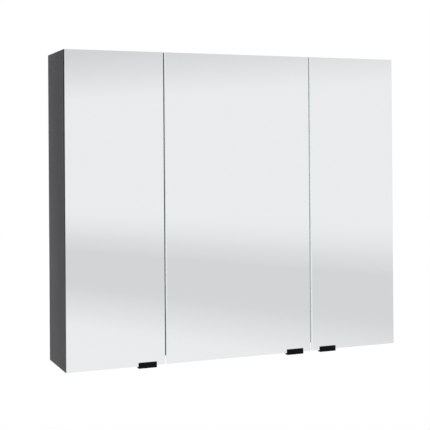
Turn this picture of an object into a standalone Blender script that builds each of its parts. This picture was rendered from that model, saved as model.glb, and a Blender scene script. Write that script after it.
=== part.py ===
"""Three-door bathroom mirror cabinet, wall hung, with frameless double-sided mirror doors.

Origin: centre of the cabinet's back, on the wall plane. +X right, -Y out into the room, +Z up.
A hinge is drawn in its own plan: u runs inwards from the door's hinged edge, and v runs back
from the face of the mirror. Every length is in metres.
"""

import math

import bmesh
import bpy
from mathutils import Vector

# Cabinet
WIDTH = 0.800
HEIGHT = 0.680
DEPTH = 0.150
BOARD = 0.016
BACK_THICK = 0.003
REBATE = 0.008
BOTTOM_RAISE = 0.017
PARTITION_X = 0.178
FIT = 0.0003

# Mirror doors
FRONT_GLASS = 0.004
REAR_GLASS = 0.003
FRONT_ARRIS = 0.0006
REAR_ARRIS = 0.0004
DOOR_REVEAL = 0.002
DOOR_GAP = 0.0045
DOOR_THICK = FRONT_GLASS + FIT + REAR_GLASS
FACE_Y = -DEPTH
CARCASS_Y = FACE_Y + DOOR_THICK + DOOR_REVEAL

# Handles: a channel clipped over the bottom edge of the glass
HANDLE_WIDE = 0.041
HANDLE_FROM_EDGE = 0.0195
HANDLE_COVERS = 0.008
HANDLE_HANGS = 0.0045
HANDLE_WALL = 0.0016

# Glass shelves
SHELF_THICK = 0.005
SHELF_SIDE_GAP = 0.0015
SHELF_SETBACK = 0.012
SHELVES_PER_BAY = 2

# Hinges: two per door; pin A is fixed to the cabinet, pin B to the door
HINGE_Z = 0.240
PIN_A = (0.0460, 0.0130)
PIN_B = (0.0195, 0.0135)
PIN_R = 0.0013
EYE_BORE_R = 0.0016
EYE_R = 0.0027
LINK_HALF = 0.0011
LINK_WIDE = 0.012
CHEEK = 0.0014
CHEEK_GAP = 0.0004
PAD_HALF_HEIGHT = 0.019
PAD_THICK = 0.002
PAD_U = (0.0172, 0.0560)
ARM_WIDE = 0.0155
ARM_BACK_V = 0.074
PLATE_V = (0.040, 0.076)
PLATE_THICK = 0.003

# Wall fixing: a hanger in each top rear corner hooks over a plate screwed to the wall
CORNER_CUT = (0.062, 0.076)
HANGER_X = 0.015
HANGER_Y = (-0.048, -0.0085)
HANGER_Z = (0.262, 0.3185)
HOOK_THICK = 0.0024
WALL_PLATE_WIDE = 0.034
WALL_PLATE_THICK = 0.002
WALL_PLATE_STEP = 0.006
WALL_SCREW_R = 0.0026

# Heights and widths that follow from the sizes above
TOP_Z = HEIGHT / 2
LOW_Z = -HEIGHT / 2
SIDE_X = WIDTH / 2
INNER_X = SIDE_X - BOARD
FLOOR_Z = LOW_Z + BOTTOM_RAISE
INNER_LOW_Z = FLOOR_Z + BOARD
INNER_TOP_Z = TOP_Z - BOARD
BACK_FRONT_Y = -BACK_THICK - FIT
HALF_BOARD = BOARD / 2
HALF_GAP = DOOR_GAP / 2


def make_material(name, colour, roughness, metallic=0.0, alpha=1.0):
    """A plain material for one kind of piece."""
    material = bpy.data.materials.new(name)
    material.use_nodes = True
    shader = material.node_tree.nodes["Principled BSDF"]
    shader.inputs["Base Color"].default_value = (*colour, 1.0)
    shader.inputs["Roughness"].default_value = roughness
    shader.inputs["Metallic"].default_value = metallic
    shader.inputs["Alpha"].default_value = alpha
    return material


def add_object(name, mesh_builder, material=None):
    """Turns a bmesh into a named object at the origin."""
    bmesh.ops.recalc_face_normals(mesh_builder, faces=mesh_builder.faces)
    mesh = bpy.data.meshes.new(name)
    mesh_builder.to_mesh(mesh)
    mesh_builder.free()
    piece = bpy.data.objects.new(name, mesh)
    bpy.context.scene.collection.objects.link(piece)
    if material:
        mesh.materials.append(material)
    return piece


def prism(name, outline, axis, low, high, material=None):
    """Extrudes a flat outline along one axis; it holds the other two coordinates in X, Y, Z order."""
    builder = bmesh.new()
    corners = []
    for first, second in outline:
        point = [first, second]
        point.insert(axis, low)
        corners.append(builder.verts.new(point))
    face = builder.faces.new(corners)
    moved = bmesh.ops.extrude_face_region(builder, geom=[face])
    shift = Vector((0.0, 0.0, 0.0))
    shift[axis] = high - low
    top = [item for item in moved["geom"] if isinstance(item, bmesh.types.BMVert)]
    bmesh.ops.translate(builder, verts=top, vec=shift)
    return add_object(name, builder, material)


def block(name, low, high, material=None):
    """A rectangular board between two corners."""
    outline = [(low[0], low[1]), (high[0], low[1]), (high[0], high[1]), (low[0], high[1])]
    return prism(name, outline, 2, low[2], high[2], material)


def round_bar(name, centre, radius, axis, low, high, sides=24):
    """A round bar along one axis; centre holds the other two coordinates."""
    outline = []
    for step in range(sides):
        angle = 2.0 * math.pi * step / sides
        outline.append((centre[0] + radius * math.cos(angle), centre[1] + radius * math.sin(angle)))
    return prism(name, outline, axis, low, high)


def combine(piece, tools, operation):
    """Joins or cuts a piece with hidden tool shapes."""
    for tool in tools:
        tool.hide_render = True
        tool.display_type = "WIRE"
        modifier = piece.modifiers.new(tool.name, "BOOLEAN")
        modifier.operation = operation
        modifier.solver = "EXACT"
        modifier.object = tool
    return piece


def soften(piece, width):
    """Rounds every sharp edge a little."""
    modifier = piece.modifiers.new("arris", "BEVEL")
    modifier.width = width
    modifier.segments = 1
    modifier.limit_method = "ANGLE"
    return piece


def make_side_panel(side, materials):
    """A full-height side, rebated at the back for the back panel."""
    name = "side_panel_left" if side < 0 else "side_panel_right"
    outer = side * SIDE_X
    inner = side * INNER_X
    rebate = side * (SIDE_X - REBATE)
    outline = [
        (outer, CARCASS_Y),
        (inner, CARCASS_Y),
        (inner, BACK_FRONT_Y),
        (rebate, BACK_FRONT_Y),
        (rebate, 0.0),
        (outer, 0.0),
    ]
    return prism(name, outline, 2, LOW_Z, TOP_Z, materials["anthracite"])


def make_end_panel(name, inside_z, outside_z, materials):
    """The top or bottom between the sides, with a lip left behind the edge of the back panel."""
    rebate_z = outside_z - math.copysign(REBATE, outside_z)
    outline = [
        (CARCASS_Y, inside_z),
        (CARCASS_Y, outside_z),
        (0.0, outside_z),
        (0.0, rebate_z),
        (BACK_FRONT_Y, rebate_z),
        (BACK_FRONT_Y, inside_z),
    ]
    half = INNER_X - FIT
    return prism(name, outline, 0, -half, half, materials["anthracite"])


def make_partition(side, materials):
    """An upright board behind the gap between two doors."""
    name = "partition_left" if side < 0 else "partition_right"
    centre = side * PARTITION_X
    low = (centre - HALF_BOARD, CARCASS_Y, INNER_LOW_Z + FIT)
    high = (centre + HALF_BOARD, BACK_FRONT_Y, INNER_TOP_Z - FIT)
    return block(name, low, high, materials["anthracite"])


def make_back_panel(materials):
    """The thin back, with its two top corners cut away for the hangers."""
    half = SIDE_X - REBATE - FIT
    low = FLOOR_Z + REBATE + FIT
    high = TOP_Z - REBATE - FIT
    cut_x = half - CORNER_CUT[0]
    cut_z = high - CORNER_CUT[1]
    outline = [
        (-half, low),
        (half, low),
        (half, cut_z),
        (cut_x, cut_z),
        (cut_x, high),
        (-cut_x, high),
        (-cut_x, cut_z),
        (-half, cut_z),
    ]
    return prism("back_panel", outline, 1, -BACK_THICK, 0.0, materials["back_board"])


def compartments():
    """The three bays, each as a name and the faces of the boards on its two sides."""
    near = PARTITION_X - HALF_BOARD
    far = PARTITION_X + HALF_BOARD
    return [("left", -INNER_X, -far), ("middle", -near, near), ("right", far, INNER_X)]


def make_shelves(materials):
    """Clear glass shelves that share out each bay's height."""
    clear = INNER_TOP_Z - INNER_LOW_Z
    for bay, low_x, high_x in compartments():
        for number, level in enumerate(("lower", "upper"), start=1):
            z = INNER_LOW_Z + clear * number / (SHELVES_PER_BAY + 1)
            low = (low_x + SHELF_SIDE_GAP, CARCASS_Y + SHELF_SETBACK, z - SHELF_THICK / 2)
            high = (high_x - SHELF_SIDE_GAP, BACK_FRONT_Y - FIT, z + SHELF_THICK / 2)
            block(f"shelf_{bay}_{level}", low, high, materials["clear_glass"])


def make_hanger(side, materials):
    """A cabinet hanger: a housing on the side panel with a hook that reaches back over the wall plate."""
    name = "hanger_left" if side < 0 else "hanger_right"
    outer = side * (INNER_X - FIT)
    inner = side * (INNER_X - FIT - HANGER_X)
    low_x = min(outer, inner)
    high_x = max(outer, inner)
    low = (low_x, HANGER_Y[0], HANGER_Z[0])
    high = (high_x, HANGER_Y[1], HANGER_Z[1])
    housing = block(name, low, high, materials["zinc"])
    lip_back = -WALL_PLATE_THICK - 2 * FIT
    hook_low = HANGER_Z[1] - 4 * HOOK_THICK
    outline = [
        (HANGER_Y[1] - HOOK_THICK, HANGER_Z[1] - HOOK_THICK),
        (lip_back - HOOK_THICK + FIT, HANGER_Z[1] - HOOK_THICK),
        (lip_back - HOOK_THICK + FIT, hook_low),
        (lip_back, hook_low),
        (lip_back, HANGER_Z[1]),
        (HANGER_Y[1] - HOOK_THICK, HANGER_Z[1]),
    ]
    hook_x = HANGER_X / 5
    hook = prism(f"{name}_hook", outline, 0, low_x + hook_x, high_x - hook_x)
    return combine(housing, [hook], "UNION")


def make_wall_plate(side, materials):
    """A stepped plate for two screws: its upper half stands off the wall for the hook to drop behind."""
    name = "wall_plate_left" if side < 0 else "wall_plate_right"
    centre = side * (INNER_X - 2 * FIT - WALL_PLATE_WIDE / 2)
    low_z = HANGER_Z[0] - 0.006
    step_z = HANGER_Z[1] - 0.0185
    top_z = HANGER_Z[1] - HOOK_THICK - FIT
    front = -WALL_PLATE_STEP
    outline = [
        (-WALL_PLATE_THICK, low_z),
        (0.0, low_z),
        (0.0, step_z + WALL_PLATE_THICK),
        (front + WALL_PLATE_THICK / 2 - FIT, step_z + WALL_PLATE_THICK),
        (front + WALL_PLATE_THICK / 2 - FIT, top_z),
        (front - WALL_PLATE_THICK / 2, top_z),
        (front - WALL_PLATE_THICK / 2, step_z),
        (-WALL_PLATE_THICK, step_z),
    ]
    half = WALL_PLATE_WIDE / 2
    plate = prism(name, outline, 0, centre - half, centre + half, materials["zinc"])
    screw_z = (low_z + step_z) / 2
    holes = []
    for offset in (-0.25, 0.25):
        place = (centre + offset * WALL_PLATE_WIDE, screw_z)
        holes.append(round_bar(f"{name}_hole_{offset}", place, WALL_SCREW_R, 1, -0.01, 0.01))
    return combine(plate, holes, "DIFFERENCE")


def to_plan(edge, inward, outline):
    """Moves a hinge's u, v outline to the cabinet's X, Y."""
    return [(edge + inward * u, FACE_Y + v) for u, v in outline]


def circle(centre, radius, sides=24):
    """Points round a circle in a hinge's plan."""
    points = []
    for step in range(sides):
        angle = 2.0 * math.pi * (step + 0.5) / sides
        points.append((centre[0] + radius * math.cos(angle), centre[1] + radius * math.sin(angle)))
    return points


def plan_prism(name, door, outline, low_z, high_z, material=None):
    """Extrudes a hinge's plan outline upwards."""
    return prism(name, to_plan(door["edge"], door["inward"], outline), 2, low_z, high_z, material)


def make_hinge_plate(door, level, z, materials):
    """The cross-shaped mounting plate screwed to the upright."""
    face = door["upright_u"] + FIT
    near_v, far_v = PLATE_V
    wing_v = near_v + 0.014
    half_body = 0.008
    half_wing = 0.024
    outline = [
        (near_v, -half_wing),
        (wing_v, -half_wing),
        (wing_v, -half_body),
        (far_v, -half_body),
        (far_v, half_body),
        (wing_v, half_body),
        (wing_v, half_wing),
        (near_v, half_wing),
    ]
    flat = [(FACE_Y + v, z + height) for v, height in outline]
    ends = sorted(door["edge"] + door["inward"] * u for u in (face, face + PLATE_THICK))
    name = f"hinge_plate_{door['name']}_{level}"
    return prism(name, flat, 0, ends[0], ends[1], materials["nickel"])


def make_hinge_arm(door, level, z, materials):
    """The arm clipped to its plate; its forked nose holds pin A."""
    name = f"hinge_arm_{door['name']}_{level}"
    base = door["upright_u"] + PLATE_THICK + 2 * FIT
    pin_u, pin_v = PIN_A
    nose = EYE_R + 0.0002
    bridge_v = pin_v + 0.0085
    back = [
        (base, ARM_BACK_V),
        (base, PLATE_V[0] + 0.002),
        (pin_u - nose, bridge_v),
        (pin_u - nose, pin_v),
        (pin_u - 0.7 * nose, pin_v - 0.7 * nose),
        (pin_u, pin_v - nose),
        (pin_u + 0.7 * nose, pin_v - 0.7 * nose),
        (pin_u + nose, pin_v),
        (pin_u + nose, bridge_v + 0.004),
        (base + 0.009, PLATE_V[0] + 0.010),
        (base + 0.009, ARM_BACK_V - 0.004),
        (base + 0.006, ARM_BACK_V),
    ]
    half = ARM_WIDE / 2
    arm = plan_prism(name, door, back, z - half, z + half, materials["nickel"])
    slot_half = LINK_WIDE / 2 + CHEEK_GAP
    reach = 0.020
    slot_outline = [
        (pin_u - reach, pin_v - reach),
        (pin_u + reach, pin_v - reach),
        (pin_u + reach, bridge_v - 0.004),
        (pin_u - reach, bridge_v - 0.004),
    ]
    slot = plan_prism(f"{name}_slot", door, slot_outline, z - slot_half, z + slot_half)
    pin = plan_prism(f"{name}_pin", door, circle(PIN_A, PIN_R), z - half + 0.0003, z + half - 0.0003)
    combine(arm, [slot], "DIFFERENCE")
    return combine(arm, [pin], "UNION")


def make_hinge_link(door, level, z, materials):
    """A flat link with an eye at each end, one round pin A and one round pin B."""
    name = f"hinge_link_{door['name']}_{level}"
    half = LINK_WIDE / 2
    (a_u, a_v), (b_u, b_v) = PIN_A, PIN_B
    bar_outline = [
        (a_u - EYE_R * 0.8, a_v - LINK_HALF),
        (a_u - EYE_R * 0.8, a_v + LINK_HALF),
        (b_u + EYE_R * 0.8, b_v + LINK_HALF),
        (b_u + EYE_R * 0.8, b_v - LINK_HALF),
    ]
    link = plan_prism(name, door, bar_outline, z - half, z + half, materials["nickel"])
    eyes = [
        plan_prism(f"{name}_eye_{end}", door, circle(pin, EYE_R), z - half, z + half)
        for end, pin in (("a", PIN_A), ("b", PIN_B))
    ]
    bores = [
        plan_prism(f"{name}_bore_{end}", door, circle(pin, EYE_BORE_R), z - 2 * half, z + 2 * half)
        for end, pin in (("a", PIN_A), ("b", PIN_B))
    ]
    combine(link, eyes, "UNION")
    return combine(link, bores, "DIFFERENCE")


def make_hinge_pad(door, level, z, materials):
    """The pad bonded to the rear mirror; its two ears hold pin B."""
    name = f"hinge_pad_{door['name']}_{level}"
    low_v = DOOR_THICK + FIT
    high_v = low_v + PAD_THICK
    near_u, far_u = PAD_U
    pad_outline = [(near_u, low_v), (far_u, low_v), (far_u, high_v), (near_u, high_v)]
    pad = plan_prism(name, door, pad_outline, z - PAD_HALF_HEIGHT, z + PAD_HALF_HEIGHT, materials["nickel"])
    inner = LINK_WIDE / 2 + CHEEK_GAP
    outer = inner + CHEEK
    pin_u, pin_v = PIN_B
    ear_top = pin_v + EYE_R
    ear_outline = [
        (near_u, high_v - 0.001),
        (pin_u + 0.010, high_v - 0.001),
        (pin_u + 0.0035, ear_top - 0.002),
        (pin_u + 0.0015, ear_top),
        (pin_u - 0.0010, ear_top),
        (near_u, ear_top - 0.0016),
    ]
    ears = [
        plan_prism(f"{name}_ear_low", door, ear_outline, z - outer, z - inner),
        plan_prism(f"{name}_ear_high", door, ear_outline, z + inner, z + outer),
    ]
    pin = plan_prism(f"{name}_pin", door, circle(PIN_B, PIN_R), z - outer + 0.0003, z + outer - 0.0003)
    return combine(pad, ears + [pin], "UNION")


def make_handle(door, materials):
    """A channel clipped over the bottom edge of the door, near its free edge."""
    front = -HANDLE_WALL - FIT
    back = DOOR_THICK + FIT + HANDLE_WALL
    low = LOW_Z - HANDLE_HANGS
    high = LOW_Z + HANDLE_COVERS
    seat = LOW_Z - FIT
    outline = [
        (front, low),
        (back, low),
        (back, high),
        (back - HANDLE_WALL, high),
        (back - HANDLE_WALL, seat),
        (front + HANDLE_WALL, seat),
        (front + HANDLE_WALL, high),
        (front, high),
    ]
    flat = [(FACE_Y + v, z) for v, z in outline]
    near = door["free_edge"] - door["inward"] * HANDLE_FROM_EDGE
    far = near - door["inward"] * HANDLE_WIDE
    name = f"handle_{door['name']}"
    return prism(name, flat, 0, min(near, far), max(near, far), materials["black"])


def make_mirrors(door, materials):
    """Two mirrors bonded back to back: the front one and the thinner one inside."""
    low_x = min(door["edge"], door["free_edge"])
    high_x = max(door["edge"], door["free_edge"])
    panes = [
        ("mirror_front", FACE_Y, FACE_Y + FRONT_GLASS, FRONT_ARRIS),
        ("mirror_rear", FACE_Y + FRONT_GLASS + FIT, FACE_Y + DOOR_THICK, REAR_ARRIS),
    ]
    for kind, low_y, high_y, arris in panes:
        name = f"{kind}_{door['name']}"
        pane = block(name, (low_x, low_y, LOW_Z), (high_x, high_y, TOP_Z), materials["mirror"])
        soften(pane, arris)


def door_list():
    """Each door's hinged edge, the way inwards from it, its free edge and the face of its upright."""
    half_overlay = HALF_BOARD - HALF_GAP
    rows = [
        ("left", -SIDE_X, 1, -PARTITION_X - HALF_GAP, BOARD),
        ("middle", -PARTITION_X + HALF_GAP, 1, PARTITION_X - HALF_GAP, half_overlay),
        ("right", SIDE_X, -1, PARTITION_X + HALF_GAP, BOARD),
    ]
    keys = ("name", "edge", "inward", "free_edge", "upright_u")
    return [dict(zip(keys, row)) for row in rows]


def make_door(door, materials):
    """One door with its mirrors, handle and two hinges."""
    make_mirrors(door, materials)
    make_handle(door, materials)
    for level, z in (("lower", -HINGE_Z), ("upper", HINGE_Z)):
        make_hinge_plate(door, level, z, materials)
        make_hinge_arm(door, level, z, materials)
        make_hinge_link(door, level, z, materials)
        make_hinge_pad(door, level, z, materials)


def make_cabinet():
    """The whole cabinet, piece by piece."""
    materials = {
        "anthracite": make_material("anthracite", (0.088, 0.088, 0.093), 0.55),
        "back_board": make_material("back_board", (0.105, 0.105, 0.110), 0.60),
        "mirror": make_material("mirror", (0.86, 0.88, 0.88), 0.03, metallic=1.0),
        "clear_glass": make_material("clear_glass", (0.75, 0.88, 0.84), 0.03, alpha=0.35),
        "black": make_material("black", (0.012, 0.012, 0.013), 0.45),
        "nickel": make_material("nickel", (0.62, 0.61, 0.58), 0.28, metallic=1.0),
        "zinc": make_material("zinc", (0.55, 0.56, 0.57), 0.38, metallic=1.0),
    }
    for side in (-1, 1):
        make_side_panel(side, materials)
        make_partition(side, materials)
        make_hanger(side, materials)
        make_wall_plate(side, materials)
    make_end_panel("top_panel", INNER_TOP_Z, TOP_Z, materials)
    make_end_panel("bottom_panel", INNER_LOW_Z, FLOOR_Z, materials)
    make_back_panel(materials)
    make_shelves(materials)
    for door in door_list():
        make_door(door, materials)


for old in list(bpy.data.objects):
    bpy.data.objects.remove(old, do_unlink=True)
make_cabinet()
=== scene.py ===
# %% [markdown]
# # A bathroom mirror cabinet, dressed around its working frame
# The boards, mirrors, hinges and pulls already exist as plain solids that are the right size and that
# move on the right joints. This notebook gives them rounded edges, holes, screws, pins and real
# finishes. Nothing is moved: each new piece takes its place from a box of the frame.
# %% Load the frame
import math

import bmesh
import bpy
from mathutils import Matrix, Vector


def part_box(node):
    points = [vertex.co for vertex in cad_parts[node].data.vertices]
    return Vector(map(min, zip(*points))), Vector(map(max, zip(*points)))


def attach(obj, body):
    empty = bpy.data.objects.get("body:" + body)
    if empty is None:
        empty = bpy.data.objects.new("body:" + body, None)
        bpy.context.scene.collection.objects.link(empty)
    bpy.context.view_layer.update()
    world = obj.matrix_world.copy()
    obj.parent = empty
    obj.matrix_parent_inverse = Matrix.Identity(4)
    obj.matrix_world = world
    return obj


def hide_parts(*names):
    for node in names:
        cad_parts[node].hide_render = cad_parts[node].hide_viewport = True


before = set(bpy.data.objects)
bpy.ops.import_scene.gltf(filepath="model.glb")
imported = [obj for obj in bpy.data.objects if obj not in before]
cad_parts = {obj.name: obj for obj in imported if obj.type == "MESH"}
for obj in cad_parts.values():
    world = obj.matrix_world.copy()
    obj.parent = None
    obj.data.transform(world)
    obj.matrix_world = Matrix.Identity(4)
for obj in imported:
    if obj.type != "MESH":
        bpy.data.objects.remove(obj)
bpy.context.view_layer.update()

MM = 0.001

# %% [markdown]
# ## Places read from the frame
# A maker marks out a job from a few faces: the front of the glass, the front edge of the boards, the
# underside of each shelf. Reading them once here means that every later cell can use a plain name.
# %% Mark out the faces
BAYS = ("left", "middle", "right")
LEVELS = ("lower", "upper")
boards_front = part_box("side_panel_left")[0].y
inner_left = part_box("side_panel_left")[1].x
inner_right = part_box("side_panel_right")[0].x
ceiling_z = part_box("top_panel")[0].z
floor_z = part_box("bottom_panel")[1].z

# %% [markdown]
# ## Small helpers for pieces
# A bmesh is Blender's mesh editor without the window. Each piece is modelled in one, turned into an
# object at the origin, and hung on the body that it moves with.
# %% Helpers: finish a piece
def mesh_of(name, bm):
    """The mesh that a bmesh describes; the bmesh is used up."""
    mesh = bpy.data.meshes.new(name)
    bm.to_mesh(mesh)
    bm.free()
    return mesh


def add_piece(name, bm, body, finish, stands_for=(), sharp_above=35.0):
    """Turns a bmesh into a named piece that rides on a body and may replace plain solids."""
    for face in bm.faces:
        face.smooth = True
    mesh = mesh_of(name, bm)
    mesh.set_sharp_from_angle(angle=math.radians(sharp_above))
    for material in finish if isinstance(finish, (list, tuple)) else [finish]:
        mesh.materials.append(material)
    piece = bpy.data.objects.new(name, mesh)
    bpy.context.scene.collection.objects.link(piece)
    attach(piece, body)
    if stands_for:
        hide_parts(*stands_for)
    return piece


def box_mesh(low, high):
    """A bmesh block between two corners."""
    bm = bmesh.new()
    bmesh.ops.create_cube(bm, size=1.0)
    size = [high[i] - low[i] for i in range(3)]
    middle = [(high[i] + low[i]) / 2 for i in range(3)]
    bmesh.ops.scale(bm, vec=size, verts=bm.verts)
    bmesh.ops.translate(bm, vec=middle, verts=bm.verts)
    return bm


def bevel(bm, geom, width, segments=3):
    """A round bevel on some edges."""
    return bmesh.ops.bevel(
        bm, geom=geom, offset=width, offset_type="OFFSET", affect="EDGES",
        segments=segments, profile=0.5, material=-1, clamp_overlap=True,
    )


def round_edges(bm, width, segments):
    """Rounds every edge where two faces meet steeply, and marks the new faces as eased."""
    eased = bm.faces.layers.float.get("eased") or bm.faces.layers.float.new("eased")
    limit = math.radians(30.0)
    edges = [e for e in bm.edges if len(e.link_faces) == 2 and e.calc_face_angle() > limit]
    rounded = bevel(bm, edges, width, segments)
    for face in rounded["faces"]:
        face[eased] = 1.0


def copy_of(node):
    """A frame solid as a clean bmesh: its loose triangles are merged and its flat faces rejoined."""
    bm = bmesh.new()
    bm.from_mesh(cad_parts[node].data)
    bmesh.ops.remove_doubles(bm, verts=bm.verts, dist=0.002 * MM)
    bmesh.ops.dissolve_limit(bm, angle_limit=math.radians(1.0), verts=bm.verts, edges=bm.edges)
    return bm


print("helpers ready for", len(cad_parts), "solids")

# %% [markdown]
# Screws, pins and caps repeat many times. Each is modelled once as a small template that points along
# +Z, and stamped wherever it is needed, turned to face its own way.
# %% Helpers: stamp small fittings
def stamp(bm, template, place, facing, spin=0.0):
    """Adds a copy of a template mesh at a place, with its +Z turned to face a direction."""
    turn = Vector(facing).to_track_quat("Z", "Y").to_matrix().to_4x4()
    copy = template.copy()
    copy.transform(Matrix.Translation(place) @ turn @ Matrix.Rotation(spin, 4, "Z"))
    bm.from_mesh(copy)
    bpy.data.meshes.remove(copy)


def disc_template(name, radius, height, edge, sides=28):
    """A flat disc with a rounded rim, standing on z = 0."""
    bm = bmesh.new()
    bmesh.ops.create_cone(
        bm, cap_ends=True, segments=sides, radius1=radius, radius2=radius, depth=height
    )
    bmesh.ops.translate(bm, vec=(0, 0, height / 2), verts=bm.verts)
    rim = [e for e in bm.edges if all(v.co.z > height * 0.9 for v in e.verts)]
    bevel(bm, rim, edge)
    return mesh_of(name, bm)


def screw_template(name, radius, height):
    """A domed screw head with a cross-shaped driver recess, standing on z = 0."""
    bm = bmesh.new()
    bmesh.ops.create_cone(
        bm, cap_ends=True, segments=24, radius1=radius, radius2=radius * 0.86, depth=height
    )
    bmesh.ops.translate(bm, vec=(0, 0, height / 2), verts=bm.verts)
    top = max(bm.faces, key=lambda face: face.calc_center_median().z)
    bevel(bm, list(top.edges), height * 0.35)
    top = max(bm.faces, key=lambda face: face.calc_center_median().z)
    bmesh.ops.inset_region(bm, faces=[top], thickness=radius * 0.16, use_even_offset=True)
    corners = sorted(top.verts, key=lambda v: math.atan2(v.co.y, v.co.x))
    between = [corner for number, corner in enumerate(corners) if number % 6 > 1]
    bmesh.ops.scale(bm, vec=(0.42, 0.42, 1.0), verts=between)
    bmesh.ops.inset_region(bm, faces=[top], thickness=radius * 0.04, depth=-height * 0.55)
    return mesh_of(name, bm)


print("templates point along +Z and are stamped in place")

# %% [markdown]
# ## Shared surface effects
# Three effects turn up on several finishes: a fine speckle like that of a printed or powdered surface,
# soft patches where hands have polished it, and edges that are a touch paler from wear. Each is a node
# group with its own dials, built once. The wear reads a number that the rounding leaves on each new face.
# %% Shared node groups
def start_group(name, dials, results):
    """A shader node group with named inputs and outputs."""
    group = bpy.data.node_groups.new(name, "ShaderNodeTree")
    for label, kind, value in dials:
        socket = group.interface.new_socket(label, in_out="INPUT", socket_type=kind)
        if value is not None:
            socket.default_value = value
    for label, kind in results:
        group.interface.new_socket(label, in_out="OUTPUT", socket_type=kind)
    return group, group.nodes.new("NodeGroupInput"), group.nodes.new("NodeGroupOutput")


def add_node(tree, kind, **settings):
    """A node with its settings made in one call."""
    node = tree.nodes.new(kind)
    for key, value in settings.items():
        setattr(node, key, value)
    return node


def speckle_group():
    """Fine two-scale speckle: gives a colour that varies a little, and a height for a bump."""
    group, dials, results = start_group(
        "fine speckle",
        [
            ("Color", "NodeSocketColor", None),
            ("Scale", "NodeSocketFloat", 900.0),
            ("Amount", "NodeSocketFloat", 0.1),
        ],
        [("Color", "NodeSocketColor"), ("Height", "NodeSocketFloat")],
    )
    place = add_node(group, "ShaderNodeTexCoord")
    fine = add_node(group, "ShaderNodeTexNoise")
    fine.inputs["Detail"].default_value = 3.0
    broad = add_node(group, "ShaderNodeTexNoise")
    broad.inputs["Scale"].default_value = 7.0
    broad.inputs["Detail"].default_value = 2.0
    both = add_node(group, "ShaderNodeMath", operation="ADD")
    centred = add_node(group, "ShaderNodeMath", operation="SUBTRACT")
    centred.inputs[1].default_value = 1.0
    scaled = add_node(group, "ShaderNodeMath", operation="MULTIPLY")
    gain = add_node(group, "ShaderNodeMath", operation="ADD")
    gain.inputs[1].default_value = 1.0
    tint = add_node(group, "ShaderNodeVectorMath", operation="SCALE")
    link = group.links.new
    link(place.outputs["Object"], fine.inputs["Vector"])
    link(place.outputs["Object"], broad.inputs["Vector"])
    link(dials.outputs["Scale"], fine.inputs["Scale"])
    link(fine.outputs["Fac"], both.inputs[0])
    link(broad.outputs["Fac"], both.inputs[1])
    link(both.outputs[0], centred.inputs[0])
    link(centred.outputs[0], scaled.inputs[0])
    link(dials.outputs["Amount"], scaled.inputs[1])
    link(scaled.outputs[0], gain.inputs[0])
    link(dials.outputs["Color"], tint.inputs[0])
    link(gain.outputs[0], tint.inputs["Scale"])
    link(tint.outputs[0], results.inputs["Color"])
    link(fine.outputs["Fac"], results.inputs["Height"])
    return group


def handling_group():
    """Soft patches where a surface is a little duller or shinier: a roughness between two values."""
    group, dials, results = start_group(
        "handling patches",
        [
            ("Scale", "NodeSocketFloat", 12.0),
            ("Low", "NodeSocketFloat", 0.3),
            ("High", "NodeSocketFloat", 0.5),
        ],
        [("Roughness", "NodeSocketFloat")],
    )
    place = add_node(group, "ShaderNodeTexCoord")
    noise = add_node(group, "ShaderNodeTexNoise")
    noise.inputs["Detail"].default_value = 4.0
    noise.inputs["Distortion"].default_value = 0.6
    spread = add_node(group, "ShaderNodeMapRange")
    spread.inputs["From Min"].default_value = 0.35
    spread.inputs["From Max"].default_value = 0.65
    link = group.links.new
    link(place.outputs["Object"], noise.inputs["Vector"])
    link(dials.outputs["Scale"], noise.inputs["Scale"])
    link(noise.outputs["Fac"], spread.inputs["Value"])
    link(dials.outputs["Low"], spread.inputs["To Min"])
    link(dials.outputs["High"], spread.inputs["To Max"])
    link(spread.outputs["Result"], results.inputs["Roughness"])
    return group


def edge_group():
    """Paler corners: mixes a worn colour in, unevenly, on the faces that the rounding marked as eased."""
    group, dials, results = start_group(
        "worn edges",
        [
            ("Color", "NodeSocketColor", None),
            ("Worn", "NodeSocketColor", None),
            ("Amount", "NodeSocketFloat", 0.4),
        ],
        [("Color", "NodeSocketColor")],
    )
    eased = add_node(group, "ShaderNodeAttribute", attribute_name="eased")
    place = add_node(group, "ShaderNodeTexCoord")
    uneven = add_node(group, "ShaderNodeTexNoise")
    uneven.inputs["Scale"].default_value = 55.0
    uneven.inputs["Detail"].default_value = 3.0
    rubbed = add_node(group, "ShaderNodeMath", operation="MULTIPLY")
    share = add_node(group, "ShaderNodeMath", operation="MULTIPLY")
    mix = add_node(group, "ShaderNodeMix", data_type="RGBA")
    link = group.links.new
    link(place.outputs["Object"], uneven.inputs["Vector"])
    link(eased.outputs["Fac"], rubbed.inputs[0])
    link(uneven.outputs["Fac"], rubbed.inputs[1])
    link(rubbed.outputs[0], share.inputs[0])
    link(dials.outputs["Amount"], share.inputs[1])
    link(share.outputs[0], mix.inputs[0])
    link(dials.outputs["Color"], mix.inputs[6])
    link(dials.outputs["Worn"], mix.inputs[7])
    link(mix.outputs[2], results.inputs["Color"])
    return group


def start_material(name):
    """A new material with the tree and the shader that it starts with."""
    material = bpy.data.materials.new(name)
    material.use_nodes = True
    return material, material.node_tree, material.node_tree.nodes["Principled BSDF"]


def place_group(tree, group, **values):
    """A group in a material, with its dials set; a colour is given as three numbers."""
    node = add_node(tree, "ShaderNodeGroup", node_tree=group)
    for dial, value in values.items():
        node.inputs[dial].default_value = (*value, 1.0) if isinstance(value, tuple) else value
    return node


SPECKLE = speckle_group()
HANDLING = handling_group()
EDGES = edge_group()
print("node groups:", SPECKLE.name, "/", HANDLING.name, "/", EDGES.name)

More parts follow.
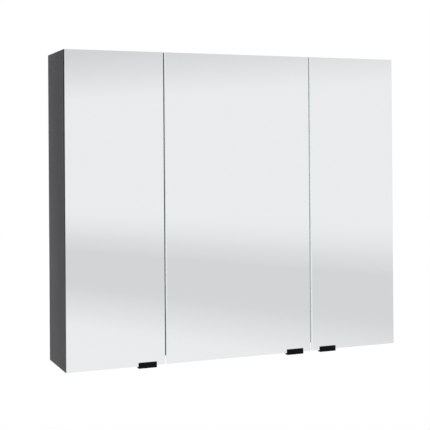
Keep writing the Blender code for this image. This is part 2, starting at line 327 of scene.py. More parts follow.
# %% [markdown]
# ## Opaque finishes
# Melamine board, powder coat, nickel plate and zinc plate differ in colour, in how far the speckle
# stands up, and in how evenly they shine. One recipe with different dials covers all of them.
# %% Finishes from one recipe
def surface_finish(name, colour, worn, speckle, patches, metallic=0.0, bump=0.0, wear=0.35, gloss=0.5):
    """A speckled, slightly uneven finish. speckle is (scale, amount); patches is (scale, low, high)."""
    material, tree, shader = start_material(name)
    shader.inputs["Metallic"].default_value = metallic
    shader.inputs["Specular IOR Level"].default_value = gloss
    grain = place_group(tree, SPECKLE, Color=colour, Scale=speckle[0], Amount=speckle[1])
    edges = place_group(tree, EDGES, Worn=worn, Amount=wear)
    shine = place_group(tree, HANDLING, Scale=patches[0], Low=patches[1], High=patches[2])
    relief = add_node(tree, "ShaderNodeBump")
    relief.inputs["Strength"].default_value = bump
    relief.inputs["Distance"].default_value = 0.05 * MM
    tree.links.new(grain.outputs["Color"], edges.inputs["Color"])
    tree.links.new(edges.outputs["Color"], shader.inputs["Base Color"])
    tree.links.new(shine.outputs["Roughness"], shader.inputs["Roughness"])
    tree.links.new(grain.outputs["Height"], relief.inputs["Height"])
    tree.links.new(relief.outputs["Normal"], shader.inputs["Normal"])
    return material


ANTHRACITE = surface_finish(
    "anthracite melamine", (0.0755, 0.0755, 0.0795), (0.120, 0.120, 0.125),
    speckle=(1500.0, 0.12), patches=(5.0, 0.50, 0.58), bump=0.35, wear=0.25, gloss=0.05,
)
EDGE_BAND = surface_finish(
    "anthracite edge band", (0.060, 0.060, 0.0635), (0.10, 0.10, 0.105),
    speckle=(2200.0, 0.06), patches=(9.0, 0.36, 0.46), bump=0.15, wear=0.25, gloss=0.3,
)
BACK_BOARD = surface_finish(
    "anthracite back board", (0.062, 0.062, 0.066), (0.10, 0.10, 0.10),
    speckle=(700.0, 0.12), patches=(4.0, 0.55, 0.66), bump=0.5, wear=0.2, gloss=0.35,
)
BLACK_COAT = surface_finish(
    "black powder coat", (0.0022, 0.0022, 0.0024), (0.020, 0.020, 0.020),
    speckle=(2600.0, 0.30), patches=(40.0, 0.38, 0.52), bump=0.8, wear=0.35, gloss=0.08,
)
NICKEL = surface_finish(
    "nickel plate", (0.60, 0.585, 0.555), (0.72, 0.70, 0.67),
    speckle=(1800.0, 0.05), patches=(60.0, 0.20, 0.34), metallic=1.0, bump=0.10, wear=0.5,
)
ZINC = surface_finish(
    "zinc plate", (0.50, 0.515, 0.535), (0.66, 0.67, 0.68),
    speckle=(420.0, 0.16), patches=(35.0, 0.30, 0.48), metallic=1.0, bump=0.15, wear=0.5,
)
CAP_PLASTIC = surface_finish(
    "anthracite cap plastic", (0.045, 0.045, 0.048), (0.08, 0.08, 0.08),
    speckle=(1200.0, 0.05), patches=(30.0, 0.32, 0.44), bump=0.3, wear=0.2,
)
BOND = surface_finish(
    "dark bond film", (0.02, 0.021, 0.022), (0.03, 0.03, 0.03),
    speckle=(600.0, 0.15), patches=(30.0, 0.5, 0.7), bump=0.2, wear=0.0,
)
print("opaque finishes:", len(bpy.data.materials))

# %% [markdown]
# ## Mirror and glass
# A mirror is silver seen through clear glass, so its face is a near-perfect metal that gives back a
# little less than it takes. Its edges show the glass instead. A ground edge is pale grey green and
# gets a painted glow that stands in for the light that the pane carries; a polished one is painted
# nearly black, which is painted shade. The shelves are clear glass, and light that enters by a face
# leaves by the edges, which look much greener.
# %% Mirror, pane edges and shelf glass
def mirror_finish(name, colour):
    """Silvered glass with the faintest wiped marks."""
    material, tree, shader = start_material(name)
    shader.inputs["Metallic"].default_value = 1.0
    shader.inputs["Specular IOR Level"].default_value = 0.5
    tone = place_group(tree, SPECKLE, Color=colour, Scale=3.0, Amount=0.004)
    wiped = place_group(tree, HANDLING, Scale=9.0, Low=0.004, High=0.014)
    tree.links.new(tone.outputs["Color"], shader.inputs["Base Color"])
    tree.links.new(wiped.outputs["Roughness"], shader.inputs["Roughness"])
    return material


def glass_edge_finish(name, colour, low, high, coat, painted_glow=0.0):
    """The edge of a pane, with fine marks of the wheel; the last argument sets a painted glow in the
    edge's own colour, which stands in for light that the pane passes on.
    """
    material, tree, shader = start_material(name)
    shader.inputs["Metallic"].default_value = 0.0
    shader.inputs["IOR"].default_value = 1.52
    shader.inputs["Coat Weight"].default_value = coat
    shader.inputs["Coat Roughness"].default_value = 0.04
    # painted glow: the edge emits its own colour, as if lit from inside
    shader.inputs["Emission Strength"].default_value = painted_glow
    tone = place_group(tree, SPECKLE, Color=colour, Scale=160.0, Amount=0.25)
    polish = place_group(tree, HANDLING, Scale=80.0, Low=low, High=high)
    tree.links.new(tone.outputs["Color"], shader.inputs["Base Color"])
    tree.links.new(tone.outputs["Color"], shader.inputs["Emission Color"])
    tree.links.new(polish.outputs["Roughness"], shader.inputs["Roughness"])
    return material


def clear_glass_finish(name, colour, low, high):
    """Clear glass with faint wiped marks on its faces."""
    material, tree, shader = start_material(name)
    shader.inputs["Metallic"].default_value = 0.0
    shader.inputs["Transmission Weight"].default_value = 1.0
    shader.inputs["IOR"].default_value = 1.52
    tone = place_group(tree, SPECKLE, Color=colour, Scale=5.0, Amount=0.01)
    marks = place_group(tree, HANDLING, Scale=14.0, Low=low, High=high)
    tree.links.new(tone.outputs["Color"], shader.inputs["Base Color"])
    tree.links.new(marks.outputs["Roughness"], shader.inputs["Roughness"])
    return material


SILVER_TONE = (0.823, 0.831, 0.842)
SILVER = mirror_finish("silvered glass", SILVER_TONE)
# the outer polished edges are coloured near black: painted shade
POLISHED_EDGE_PAINTED_SHADE = glass_edge_finish(
    "polished mirror edge painted as shade", (0.007, 0.009, 0.009), low=0.05, high=0.12, coat=0.1,
)
# the gap edges are pale, partly from the ground finish, and glow with painted light
GROUND_EDGE_PAINTED_GLOW = glass_edge_finish(
    "ground mirror edge with painted glow", (0.42, 0.46, 0.445), low=0.45, high=0.60, coat=0.3, painted_glow=1.0,
)
SHELF_FACE = clear_glass_finish("shelf glass", (0.93, 0.975, 0.96), 0.0, 0.02)
SHELF_EDGE = clear_glass_finish("shelf glass edge", (0.30, 0.62, 0.52), 0.05, 0.12)
CLEAR_PAD = clear_glass_finish("clear silicone", (0.88, 0.90, 0.90), 0.18, 0.30)
print("mirror gives back", round(SILVER_TONE[1] * 100), "% of the light")

# %% [markdown]
# ## Boards
# The cabinet is made of 16 mm melamine-faced chipboard. A saw leaves such a board square, and the
# edges are then banded and eased by about half a millimetre, which is what catches the light. The
# frame's solid is copied, cleaned and its edges bevelled, so its rebates and size stay true.
# %% Ease the boards' edges
BOARD_EASE = 0.5 * MM
SIDES = ("side_panel_left", "side_panel_right")
PARTITIONS = ("partition_left", "partition_right")
ENDS = ("top_panel", "bottom_panel")


def make_board(node):
    """A faced board in place of its plain solid."""
    bm = copy_of(node)
    round_edges(bm, BOARD_EASE, 2)
    return add_piece(f"{node}_board", bm, "cabinet", ANTHRACITE, [node])


boards = {node: make_board(node) for node in SIDES + PARTITIONS + ENDS}
print("boards eased:", len(boards))

# %% [markdown]
# ## Holes for the shelf pins
# Each upright is bored with short rows of 5 mm holes, 32 mm apart, so that a shelf can be moved up or
# down a step. They are real holes, cut with one Boolean for each board, because a painted dot looks
# flat as soon as the door opens.
# %% Bore the pin holes
PIN_R = 2.5 * MM
HOLE_R = 2.6 * MM
HOLE_DEPTH = 6.5 * MM
HOLE_STEP = 32 * MM
ROWS_Y = (boards_front + 34 * MM, -26 * MM)


def bore(piece, spots, radius, depth, sides=20):
    """Cuts a round hole at each spot, a place on the surface and the direction that the surface faces."""
    drill = disc_template("drill", radius, 2 * depth, 0.02 * MM, sides)
    bm = bmesh.new()
    for place, facing in spots:
        stamp(bm, drill, Vector(place) - Vector(facing) * depth, facing)
    cutter = bpy.data.objects.new("cutter", mesh_of("cutter", bm))
    bpy.context.scene.collection.objects.link(cutter)
    cut = piece.modifiers.new("holes", "BOOLEAN")
    cut.operation = "DIFFERENCE"
    cut.solver = "EXACT"
    cut.object = cutter
    graph = bpy.context.evaluated_depsgraph_get()
    bored = bpy.data.meshes.new_from_object(piece.evaluated_get(graph))
    piece.modifiers.clear()
    piece.data = bored
    bored.set_sharp_from_angle(angle=math.radians(35.0))
    bpy.data.objects.remove(cutter)
    return len(spots)


def upright_faces(bay):
    """The two boards that face a bay, each with the X of its face and the way into the bay."""
    left = {"left": "side_panel_left", "middle": "partition_left", "right": "partition_right"}[bay]
    right = {"left": "partition_left", "middle": "partition_right", "right": "side_panel_right"}[bay]
    return (left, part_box(left)[1].x, 1), (right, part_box(right)[0].x, -1)


def pin_height(bay, level):
    """The centre of a pin that just touches the underside of a shelf."""
    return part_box(f"shelf_{bay}_{level}")[0].z - PIN_R - 0.1 * MM


def pin_spots(node, steps):
    """Where the pin holes of one board are: each place, and the way that its face looks."""
    return [
        ((face_x, row_y, pin_height(bay, level) + step * HOLE_STEP), (inward, 0, 0))
        for bay in BAYS
        for name, face_x, inward in upright_faces(bay)
        if name == node
        for level in LEVELS
        for row_y in ROWS_Y
        for step in steps
    ]


holes = sum(
    bore(boards[node], pin_spots(node, (-1, 0, 1)), HOLE_R, HOLE_DEPTH)
    for node in SIDES + PARTITIONS
)
print("pin holes bored:", holes)

# %% [markdown]
# ## Edge bands
# The raw front edge of a chipboard panel is hidden by a strip of thin melamine, ironed on and trimmed.
# It is a hair narrower than the board and a little glossier, so it reads as a fine separate line. It
# may stand only 0.2 mm proud, because an open door's edge passes 0.4 mm in front of the boards.
# %% Band the front edges
BAND_THICK = 0.2 * MM
BAND_SHY = 0.35 * MM


def make_band(node):
    """A thin strip on a board's front edge."""
    low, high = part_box(node)
    bm = box_mesh(
        (low.x + BAND_SHY, boards_front - BAND_THICK, low.z + BAND_SHY),
        (high.x - BAND_SHY, boards_front + 0.05 * MM, high.z - BAND_SHY),
    )
    round_edges(bm, 0.08 * MM, 2)
    return add_piece(f"{node}_edge_band", bm, "cabinet", EDGE_BAND)


bands = [make_band(node) for node in SIDES + PARTITIONS + ENDS]
print("edge bands:", len(bands))

# %% [markdown]
# ## Back panel
# The back is a thin faced fibreboard, dropped into rebates and pinned from behind. Its two top corners
# are cut away for the hangers. The pins are driven just below the surface, so each one is a small
# steel head at the bottom of a shallow hole.
# %% Back panel and its pins
BRAD_R = 1.4 * MM
BRAD_SUNK = 0.6 * MM
BRAD_INSET = 4.5 * MM
back_low, back_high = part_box("back_panel")
back_bm = copy_of("back_panel")
round_edges(back_bm, 0.3 * MM, 1)
back = add_piece("back_panel_board", back_bm, "cabinet", BACK_BOARD, ["back_panel"])
brad_xs = [back_low.x + 40 * MM + (back_high.x - back_low.x - 80 * MM) * n / 6 for n in range(7)]
brad_zs = [back_low.z + 50 * MM + 150 * MM * n for n in range(4)]
brads = [(x, 0.0, back_low.z + BRAD_INSET) for x in brad_xs]
brads += [(x, 0.0, back_high.z - BRAD_INSET) for x in brad_xs[1:-1]]
brads += [(x, 0.0, z) for x in (back_low.x + BRAD_INSET, back_high.x - BRAD_INSET) for z in brad_zs]
bore(back, [(place, (0, 1, 0)) for place in brads], BRAD_R, BRAD_SUNK, sides=14)
brad_head = disc_template("brad head", BRAD_R * 0.92, 0.35 * MM, 0.12 * MM, sides=14)
brad_bm = bmesh.new()
for place in brads:
    stamp(brad_bm, brad_head, Vector(place) - Vector((0, BRAD_SUNK, 0)), (0, 1, 0))
add_piece("back_panel_pins", brad_bm, "cabinet", ZINC)
print("back panel pins:", len(brads))

# %% [markdown]
# ## Glass shelves
# A shelf is 5 mm toughened glass with ground and polished edges. The faces are nearly invisible, and
# the edges carry the colour, so the narrow faces get a second, greener material.
# %% Shelves with polished edges
def paint_edges(bm, axis):
    """Gives the two large faces across an axis the first material and the narrow ones the second."""
    bm.normal_update()
    for face in bm.faces:
        face.material_index = 0 if abs(face.normal[axis]) > 0.99 else 1


def make_shelf(bay, level):
    """One pane resting on its four pins."""
    node = f"shelf_{bay}_{level}"
    bm = box_mesh(*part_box(node))
    round_edges(bm, 0.8 * MM, 3)
    paint_edges(bm, axis=2)
    finish = [SHELF_FACE, SHELF_EDGE]
    return add_piece(f"{node}_pane", bm, "cabinet", finish, [node])


shelves = [make_shelf(bay, level) for bay in BAYS for level in LEVELS]
print("shelves:", len(shelves))

# %% [markdown]
# ## Shelf pins
# Four steel pins carry each shelf. A pin is a 5 mm stub pushed into its hole, with a collar that stops
# against the board. Each bay's eight pins are one piece, because they are never taken apart.
# %% Shelf pins
PIN_OUT = 9.0 * MM
PIN_IN = 5.0 * MM
COLLAR_R = 4.2 * MM
COLLAR_THICK = 1.0 * MM
pin_stub = disc_template("pin stub", PIN_R, PIN_OUT + PIN_IN, 0.6 * MM, sides=20)
pin_collar = disc_template("pin collar", COLLAR_R, COLLAR_THICK, 0.35 * MM)


def make_pins(bay):
    """Every pin of one bay."""
    bm = bmesh.new()
    for _, face_x, inward in upright_faces(bay):
        for level in LEVELS:
            for row_y in ROWS_Y:
                z = pin_height(bay, level)
                stamp(bm, pin_stub, (face_x - inward * PIN_IN, row_y, z), (inward, 0, 0))
                stamp(bm, pin_collar, (face_x + inward * 0.05 * MM, row_y, z), (inward, 0, 0))
    return add_piece(f"shelf_pins_{bay}", bm, "cabinet", NICKEL)


pins = [make_pins(bay) for bay in BAYS]
print("pieces of shelf pins:", len(pins))

# %% [markdown]
# ## Joint covers
# The boards are pulled together by cam fittings let into the inner faces of the top and the bottom.
# Each one is hidden by a shallow plastic cap with a small notch for a screwdriver.
# %% Cam caps
CAP_R = 8.5 * MM
CAP_PROUD = 0.9 * MM
CAP_FROM_SIDE = 34 * MM
cap_top = screw_template("cam cap", CAP_R, CAP_PROUD)
cap_bm = bmesh.new()
side_caps = (inner_left + CAP_FROM_SIDE, inner_right - CAP_FROM_SIDE)
for x in side_caps:
    for y in (boards_front + 30 * MM, -34 * MM):
        stamp(cap_bm, cap_top, (x, y, ceiling_z), (0, 0, -1))
        stamp(cap_bm, cap_top, (x, y, floor_z), (0, 0, 1))
caps = add_piece("cam_caps", cap_bm, "cabinet", CAP_PLASTIC)
print("cam caps:", 4 * len(side_caps))

# %% [markdown]
# ## Door bumpers
# Two clear domes behind each door keep glass from knocking on board. They are cut from a sphere and
# flattened, and stick to the front edges of the top and the bottom near the door's free edge.
# %% Bumpers
BUMPER_R = 4.0 * MM
BUMPER_HIGH = 1.1 * MM
BUMPER_INSET = 26 * MM


def dome_template(name, radius, height):
    """A low dome standing on z = 0, cut from a flattened ball."""
    bm = bmesh.new()
    bmesh.ops.create_uvsphere(bm, u_segments=24, v_segments=12, radius=radius)
    bmesh.ops.bisect_plane(
        bm, geom=bm.verts[:] + bm.edges[:] + bm.faces[:], plane_co=(0, 0, 0), plane_no=(0, 0, 1),
        clear_inner=True,
    )
    bmesh.ops.holes_fill(bm, edges=[e for e in bm.edges if e.is_boundary], sides=0)
    bmesh.ops.scale(bm, vec=(1, 1, height / radius), verts=bm.verts)
    bmesh.ops.recalc_face_normals(bm, faces=bm.faces)
    return mesh_of(name, bm)


def free_edge_x(door):
    """The side of a door that opens, away from its hinges."""
    low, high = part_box(f"mirror_front_{door}")
    return low.x if door == "right" else high.x


def inward_of(door):
    """The way from a door's hinged edge towards its free edge."""
    return -1 if door == "right" else 1


dome = dome_template("bumper", BUMPER_R, BUMPER_HIGH)
bumper_bm = bmesh.new()
for door in BAYS:
    x = free_edge_x(door) - inward_of(door) * BUMPER_INSET
    for node in ENDS:
        low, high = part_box(node)
        place = (x, boards_front - BAND_THICK, (low.z + high.z) / 2)
        stamp(bumper_bm, dome, place, (0, -1, 0))
bumpers = add_piece("door_bumpers", bumper_bm, "cabinet", CLEAR_PAD)
door_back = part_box("mirror_rear_left")[1].y
room = boards_front - door_back - BUMPER_HIGH - BAND_THICK
print("bumpers leave", round(room / MM, 1), "mm free behind the doors")

# %% [markdown]
# ## Mirror doors
# Each door is two mirrors bonded back to back, so that it is a mirror inside as well. A small flat at
# 45 degrees is ground all round. The long edges at the two ends of the cabinet are polished and painted
# nearly black, which is painted shade, while those that meet at the gaps are left finely ground, pale
# and given a painted glow. The bond film between the panes stops a millimetre short of the edge.
# %% Mirror panes
FRONT_ARRIS = 0.6 * MM
REAR_ARRIS = 0.4 * MM
BOND_SHY = 1.0 * MM
SKIN = 0.02 * MM


def make_pane(kind, door, arris):
    """One pane: silver on its two faces; its outer end edges polished and painted near black as shade,
    the others ground, pale and given a painted glow.
    """
    node = f"mirror_{kind}_{door}"
    bm = box_mesh(*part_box(node))
    round_edges(bm, arris, 1)
    paint_edges(bm, axis=1)
    # outer end edges take the near-black edge, which is painted shade; all others keep the pale ground
    # edge with its painted glow
    outward = {"left": -1, "middle": 0, "right": 1}[door]
    for face in bm.faces:
        if face.normal.x * outward > 0.3:
            face.material_index = 2
    finish = [SILVER, GROUND_EDGE_PAINTED_GLOW, POLISHED_EDGE_PAINTED_SHADE]
    return add_piece(
        f"{node}_pane", bm, f"{door}_door", finish, [node], sharp_above=20.0
    )


def make_bond(door):
    """The dark film between the two panes."""
    low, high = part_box(f"mirror_front_{door}")
    rear_low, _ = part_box(f"mirror_rear_{door}")
    bm = box_mesh(
        (low.x + BOND_SHY, high.y - SKIN, low.z + BOND_SHY),
        (high.x - BOND_SHY, rear_low.y + SKIN, high.z - BOND_SHY),
    )
    round_edges(bm, 0.08 * MM, 1)
    return add_piece(f"bond_film_{door}", bm, f"{door}_door", BOND)


for door in BAYS:
    make_pane("front", door, FRONT_ARRIS)
    make_pane("rear", door, REAR_ARRIS)
    make_bond(door)
print("panes:", 2 * len(BAYS))

# %% [markdown]
# ## Handles
# A pull is a short channel of folded metal, powder coated, pressed over the lower edge of the door and
# held by thin tape. The fold leaves soft outer corners, so the copy of the solid is rounded by 0.45 mm
# in three steps, where the boards get 0.5 mm in two.
# %% Handles and their tape
TAPE_THICK = 0.22 * MM
TAPE_SHY = 1.0 * MM


def make_handle(door):
    """The black channel that is pressed over a door's lower edge."""
    node = f"handle_{door}"
    bm = copy_of(node)
    round_edges(bm, 0.45 * MM, 3)
    return add_piece(f"{node}_channel", bm, f"{door}_door", BLACK_COAT, [node])


def make_tape(door):
    """Two thin strips that hold the channel to the glass, front and back."""
    low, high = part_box(f"handle_{door}")
    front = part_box(f"mirror_front_{door}")[0].y
    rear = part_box(f"mirror_rear_{door}")[1].y
    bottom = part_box(f"mirror_front_{door}")[0].z + 0.8 * MM
    bm = bmesh.new()
    for near in (front - TAPE_THICK - SKIN, rear + SKIN):
        strip = box_mesh(
            (low.x + TAPE_SHY, near, bottom),
            (high.x - TAPE_SHY, near + TAPE_THICK, high.z - 0.3 * MM),
        )
        round_edges(strip, 0.08 * MM, 1)
        mesh = mesh_of("strip", strip)
        bm.from_mesh(mesh)
        bpy.data.meshes.remove(mesh)
    return add_piece(f"handle_tape_{door}", bm, f"{door}_door", BOND)


for door in BAYS:
    make_handle(door)
    make_tape(door)

# %% [markdown]
# ## Hinges
# Each door swings on two concealed hinges. A plate is screwed to the upright, an arm clips on it, and
# a link joins the arm to a pad glued to the rear mirror. The solids have the right outlines and bores,
# so they are kept as copies with their edges rounded, and screws, pin heads and glue are added.
# %% Hinge parts
HINGE_EASE = 0.35 * MM
WING_SCREW = screw_template("wing screw", 3.6 * MM, 1.5 * MM)
ARM_SCREW = screw_template("arm screw", 2.9 * MM, 0.9 * MM)
PIN_HEAD = disc_template("pin head", 2.0 * MM, 0.45 * MM, 0.2 * MM, sides=20)
WING_SCREW_INSET = 6.5 * MM
ARM_SCREWS = ((9 * MM, 0.2), (18 * MM, 0.9))
NOSE_R = 2.9 * MM
GLUE_SHY = 1.0 * MM


def keep_solid(node, body, finish, ease):
    """A frame solid with its edges rounded."""
    bm = copy_of(node)
    round_edges(bm, ease, 2)
    return add_piece(f"{node}_part", bm, body, finish, [node])


def hinge_middle(door, level):
    """The height of a hinge."""
    low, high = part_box(f"hinge_pad_{door}_{level}")
    return (low.z + high.z) / 2


def make_plate_screws(door, level):
    """Two screws through the wings of the mounting plate."""
    low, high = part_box(f"hinge_plate_{door}_{level}")
    inward = inward_of(door)
    face_x = high.x if inward > 0 else low.x
    bm = bmesh.new()
    for z in (low.z + WING_SCREW_INSET, high.z - WING_SCREW_INSET):
        stamp(bm, WING_SCREW, (face_x, low.y + 7 * MM, z), (inward, 0, 0), spin=0.4)
    return add_piece(f"hinge_plate_screws_{door}_{level}", bm, "cabinet", ZINC)


def make_arm_fittings(door, level):
    """Two adjusting screws on the arm, and the heads of the pin through its nose."""
    low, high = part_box(f"hinge_arm_{door}_{level}")
    inward = inward_of(door)
    base_x = low.x if inward > 0 else high.x
    middle = hinge_middle(door, level)
    bm = bmesh.new()
    screw_x = base_x + inward * 9 * MM
    for from_back, spin in ARM_SCREWS:
        stamp(bm, ARM_SCREW, (screw_x, high.y - from_back, middle), (inward, 0, 0), spin)
    nose_x = (high.x - NOSE_R) if inward > 0 else (low.x + NOSE_R)
    for top, facing in ((high.z, 1), (low.z, -1)):
        stamp(bm, PIN_HEAD, (nose_x, low.y + NOSE_R, top), (0, 0, facing))
    return add_piece(f"hinge_arm_fittings_{door}_{level}", bm, "cabinet", NICKEL)


def make_pad_glue(door, level):
    """The thin layer of glue that holds the pad on the rear pane."""
    low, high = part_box(f"hinge_pad_{door}_{level}")
    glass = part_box(f"mirror_rear_{door}")[1].y
    bm = box_mesh(
        (low.x + GLUE_SHY, glass + SKIN, low.z + GLUE_SHY),
        (high.x - GLUE_SHY, low.y - SKIN, high.z - GLUE_SHY),
    )
    round_edges(bm, 0.08 * MM, 1)
    return add_piece(f"hinge_glue_{door}_{level}", bm, f"{door}_door", BOND)


for door in BAYS:
    for level in LEVELS:
        where = f"{door}_{level}"
        keep_solid(f"hinge_plate_{where}", "cabinet", NICKEL, HINGE_EASE)
        keep_solid(f"hinge_arm_{where}", "cabinet", NICKEL, HINGE_EASE)
        keep_solid(f"hinge_link_{where}", f"{door}_links", NICKEL, 0.2 * MM)
        keep_solid(f"hinge_pad_{where}", f"{door}_door", NICKEL, 0.3 * MM)
        make_plate_screws(door, level)
        make_arm_fittings(door, level)
        make_pad_glue(door, level)
print("hinges:", len(BAYS) * len(LEVELS))

# %% [markdown]
# ## Wall fixing
# The cabinet hooks over two steel plates on the wall. Each hanger has one screw that draws the cabinet
# back and one that lifts it, and is itself held by two screws to the side board. The plates have two
# wall screws each, with broad domed heads.
# %% Hangers and wall plates
HANGER_SCREW = screw_template("hanger screw", 4.2 * MM, 1.4 * MM)
FIX_SCREW = screw_template("fixing screw", 3.2 * MM, 1.1 * MM)
WALL_SCREW = screw_template("wall screw", 4.6 * MM, 2.0 * MM)
HANGER_SCREW_INSET = 16 * MM
PLATE_FACE_Y = -2.0 * MM
WALL_SCREW_UP = 21.75 * MM


def make_hanger(side):
    """A hanger with its adjusting screws."""
    node = f"hanger_{side}"
    keep_solid(node, "cabinet", ZINC, 0.6 * MM)
    low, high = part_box(node)
    inward = 1 if side == "left" else -1
    face_x = high.x if inward > 0 else low.x
    middle_x = (low.x + high.x) / 2
    bm = bmesh.new()
    for z, spin in ((low.z + HANGER_SCREW_INSET, 0.3), (high.z - HANGER_SCREW_INSET, 1.0)):
        stamp(bm, HANGER_SCREW, (middle_x, low.y, z), (0, -1, 0), spin)
    for y in (low.y + 8 * MM, low.y + 30 * MM):
        stamp(bm, FIX_SCREW, (face_x, y, (low.z + high.z) / 2), (inward, 0, 0), 0.5)
    return add_piece(f"{node}_screws", bm, "cabinet", NICKEL)


def make_wall_plate(side):
    """A stepped plate with its two wall screws."""
    node = f"wall_plate_{side}"
    keep_solid(node, "cabinet", ZINC, 0.3 * MM)
    low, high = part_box(node)
    bm = bmesh.new()
    for share in (0.25, 0.75):
        place = (low.x + share * (high.x - low.x), PLATE_FACE_Y, low.z + WALL_SCREW_UP)
        stamp(bm, WALL_SCREW, place, (0, -1, 0), 0.7 * share)
    return add_piece(f"{node}_screws", bm, "cabinet", ZINC)


for side in ("left", "right"):
    make_hanger(side)
    make_wall_plate(side)
plate_low, plate_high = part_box("wall_plate_left")
print("wall plates are", round((plate_high.x - plate_low.x) / MM), "mm wide")

# %% [markdown]
# ## Studio
# A mirror has no look of its own: it shows the room. So the room is part of the job. The world is an
# even white, the floor is pale, and one tall backdrop behind the camera carries soft horizontal bands
# of light, which the doors give back. A smaller dark sheet far to the left darkens the polished edge
# and the side board a little. It is hidden from the camera itself.
# %% Backdrop, dark sheet, floor and world
BACKDROP_ANGLE = math.radians(61.0)
BACKDROP_FAR = 4.0
BACKDROP_WIDE = 26.0
BACKDROP_LOW = -1.72
BACKDROP_TOP = 4.2
CURVE_TOP = 1.1
BANDS = (
    (-1.47, 1.003), (-1.35, 1.000), (-1.29, 0.991), (-1.23, 0.953), (-1.17, 0.915), (-1.11, 0.879),
    (-1.05, 0.844), (-0.99, 0.802), (-0.93, 0.792), (-0.75, 0.792), (-0.69, 0.790), (-0.63, 0.835),
    (-0.57, 0.870), (-0.51, 0.925), (-0.45, 0.962), (-0.39, 0.994), (-0.33, 1.003), (0.51, 1.003),
    (0.57, 0.998), (0.63, 0.962), (0.69, 0.925), (0.75, 0.885), (0.81, 0.853), (0.87, 0.818),
    (0.93, 0.785), (1.20, 0.780), (1.70, 0.950),
)
FLAG_PLACE = (-2.05, 3.85)
FLAG_ANGLE = math.radians(28)
FLAG_WIDE = 2.2
FLAG_LOW = -1.5
FLAG_TOP = 3.1
FLAG_GLOW = (
    (-1.50, 0.44), (-1.05, 0.36), (-0.60, 0.26), (-0.10, 0.10), (0.30, 0.05), (2.30, 0.05),
)
FLOOR_Z = -1.75


def glowing_sheet(name, bands):
    """A glow that follows height; bands is a list of (height, brightness)."""
    material = bpy.data.materials.new(name)
    material.use_nodes = True
    tree = material.node_tree
    tree.nodes.clear()
    out = add_node(tree, "ShaderNodeOutputMaterial")
    glow = add_node(tree, "ShaderNodeEmission")
    place = add_node(tree, "ShaderNodeTexCoord")
    split = add_node(tree, "ShaderNodeSeparateXYZ")
    height = add_node(tree, "ShaderNodeMapRange")
    low, high = bands[0][0], bands[-1][0]
    height.inputs["From Min"].default_value = low
    height.inputs["From Max"].default_value = high
    ramp = add_node(tree, "ShaderNodeFloatCurve")
    curve = ramp.mapping.curves[0]
    points = [((z - low) / (high - low), value / CURVE_TOP) for z, value in bands]
    curve.points[0].location = points[0]
    curve.points[1].location = points[-1]
    for point in points[1:-1]:
        curve.points.new(*point)
    for point in curve.points:
        point.handle_type = "VECTOR"
    ramp.mapping.update()
    gain = add_node(tree, "ShaderNodeMath", operation="MULTIPLY")
    gain.inputs[1].default_value = CURVE_TOP
    tree.links.new(place.outputs["Object"], split.inputs[0])
    tree.links.new(split.outputs["Z"], height.inputs["Value"])
    tree.links.new(height.outputs["Result"], ramp.inputs["Value"])
    tree.links.new(ramp.outputs["Value"], gain.inputs[0])
    tree.links.new(gain.outputs[0], glow.inputs["Strength"])
    tree.links.new(glow.outputs[0], out.inputs["Surface"])
    return material


def staged(name, bm, material):
    """An object that belongs to the studio and not to the cabinet."""
    mesh = mesh_of(name, bm)
    mesh.materials.append(material)
    thing = bpy.data.objects.new(name, mesh)
    bpy.context.scene.collection.objects.link(thing)
    return thing


def upright_sheet(wide, low, high, turn, place):
    """An upright rectangle between two heights, turned about Z and moved to a place on the ground."""
    bm = bmesh.new()
    bmesh.ops.create_grid(bm, x_segments=1, y_segments=1, size=0.5)
    bmesh.ops.scale(bm, vec=(wide, high - low, 1), verts=bm.verts)
    bmesh.ops.rotate(bm, matrix=Matrix.Rotation(math.radians(90), 3, "X"), verts=bm.verts)
    bmesh.ops.rotate(bm, matrix=Matrix.Rotation(turn, 3, "Z"), verts=bm.verts)
    bmesh.ops.translate(bm, vec=(*place, (low + high) / 2), verts=bm.verts)
    return bm


backdrop_place = (
    math.sin(BACKDROP_ANGLE) * BACKDROP_FAR, -math.cos(BACKDROP_ANGLE) * BACKDROP_FAR
)
backdrop_bm = upright_sheet(
    BACKDROP_WIDE, BACKDROP_LOW, BACKDROP_TOP, BACKDROP_ANGLE, backdrop_place
)
staged("studio_backdrop", backdrop_bm, glowing_sheet("backdrop bands", BANDS))
flag_bm = upright_sheet(FLAG_WIDE, FLAG_LOW, FLAG_TOP, FLAG_ANGLE, FLAG_PLACE)
flag = staged("studio_flag", flag_bm, glowing_sheet("flag shades", FLAG_GLOW))
flag.visible_camera = False

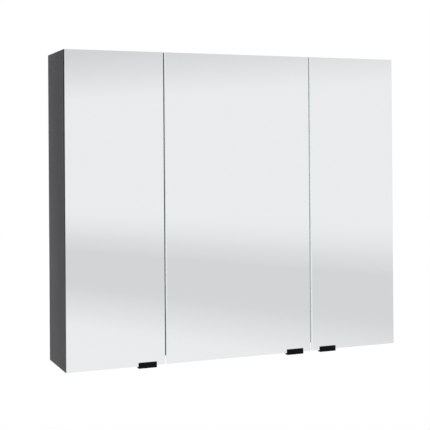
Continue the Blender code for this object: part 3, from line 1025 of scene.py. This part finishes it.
pale, _, pale_shader = start_material("pale floor")
pale_shader.inputs["Base Color"].default_value = (0.80, 0.80, 0.80, 1)
pale_shader.inputs["Roughness"].default_value = 0.9
pale_shader.inputs["Emission Color"].default_value = (1, 1, 1, 1)
pale_shader.inputs["Emission Strength"].default_value = 0.22
floor_bm = bmesh.new()
bmesh.ops.create_grid(floor_bm, x_segments=1, y_segments=1, size=20)
bmesh.ops.translate(floor_bm, vec=(0, 0, FLOOR_Z), verts=floor_bm.verts)
staged("studio_floor", floor_bm, pale)

world = bpy.data.worlds.new("even white")
world.use_nodes = True
world.node_tree.nodes["Background"].inputs["Color"].default_value = (1, 1, 1, 1)
world.node_tree.nodes["Background"].inputs["Strength"].default_value = 1.0
bpy.context.scene.world = world
bpy.context.scene.view_settings.view_transform = "Standard"
print("backdrop stands", BACKDROP_FAR, "m away")

# %% [markdown]
# ## Camera
# The camera stands to the left of the cabinet at about its middle height, and its lens is shifted so
# that upright edges stay upright. Its direction is given as a turn, a tilt and a roll.
# %% Camera
CAMERA_PLACE = Vector((-0.89927, -2.19778, 0.11910))
TURN = 0.389210
TILT = 0.005980
ROLL = -0.007280
LENS = 83.275
SHIFT_UP = -0.15814

ahead = Vector((math.sin(TURN) * math.cos(TILT), math.cos(TURN) * math.cos(TILT), math.sin(TILT)))
right = Vector((math.cos(TURN), -math.sin(TURN), 0))
above = right.cross(ahead)
rolled_right = right * math.cos(ROLL) + above * math.sin(ROLL)
rolled_above = -right * math.sin(ROLL) + above * math.cos(ROLL)
turned = Matrix((rolled_right, rolled_above, -ahead)).transposed().to_4x4()
camera_data = bpy.data.cameras.new("camera")
camera_data.lens = LENS
camera_data.sensor_width = 36.0
camera_data.shift_y = SHIFT_UP
camera = bpy.data.objects.new("camera", camera_data)
camera.matrix_world = Matrix.Translation(CAMERA_PLACE) @ turned
bpy.context.scene.collection.objects.link(camera)
bpy.context.scene.camera = camera
print("camera is", round(CAMERA_PLACE.length, 2), "m from the wall point behind the cabinet")
